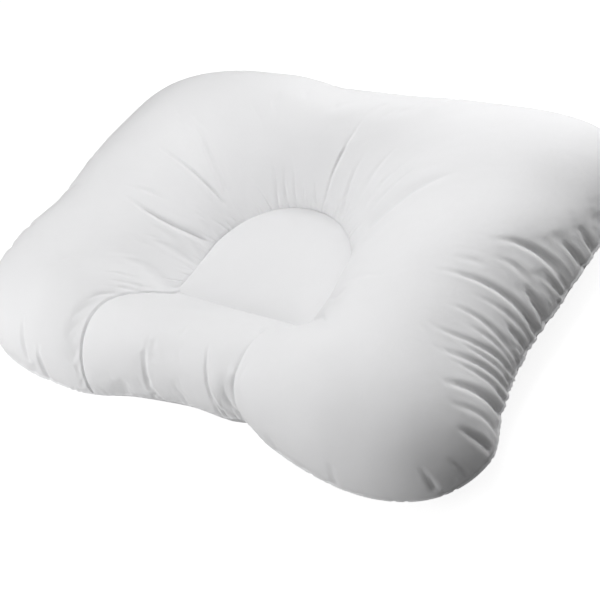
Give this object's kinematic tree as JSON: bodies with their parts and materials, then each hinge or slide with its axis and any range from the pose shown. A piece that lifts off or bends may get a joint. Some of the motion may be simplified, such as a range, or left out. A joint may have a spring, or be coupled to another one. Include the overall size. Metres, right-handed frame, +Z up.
{
  "type": "orthopedic pillow",
  "caption": "Soft filled cervical pillow with a sunken D-shaped head pad, a raised neck roll along one long side and four plump corner lobes.",
  "frame": {"origin": "on the surface it rests on, under the middle of the pillow's outline", "axes": "+Z up out of the top; +X along the long side; the neck roll is on the -Y side"},
  "size_m": [0.599, 0.4192, 0.1204],
  "materials": {
    "cover": "plain white close-woven cotton, matt"
  },
  "bodies": {
    "root": {"pillow": "cover"}
  },
  "joints": []
}
